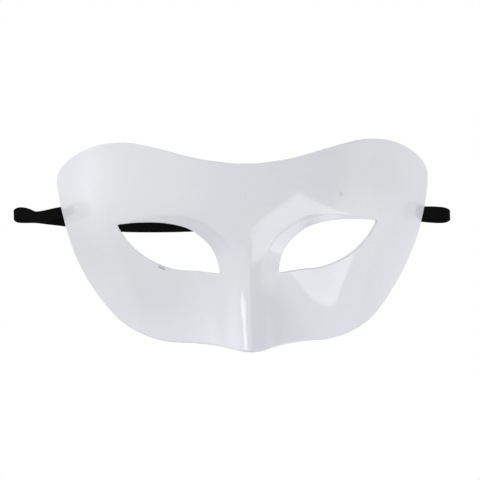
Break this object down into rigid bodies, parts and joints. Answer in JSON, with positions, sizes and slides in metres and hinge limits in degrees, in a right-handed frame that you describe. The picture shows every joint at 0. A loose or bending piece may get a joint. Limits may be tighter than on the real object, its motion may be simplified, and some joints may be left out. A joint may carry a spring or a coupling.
{
  "type": "venetian eye mask",
  "caption": "Plain white glossy half mask with eye openings, a raised brow and a nose ridge, with a flat black elastic strap bonded inside its temples.",
  "frame": {"origin": "on the floor under the centre of the shell's box, the mask lying face up on its rim", "axes": "+X to the viewer's right across the mask, +Y to the forehead, +Z out of the face"},
  "size_m": [0.2132, 0.0968, 0.0684],
  "materials": {
    "white_plastic": "glossy moulded white plastic, a little translucent",
    "black_elastic": "matt woven flat elastic"
  },
  "bodies": {
    "root": {"mask_shell": "white_plastic", "elastic_strap": "black_elastic"}
  },
  "joints": []
}
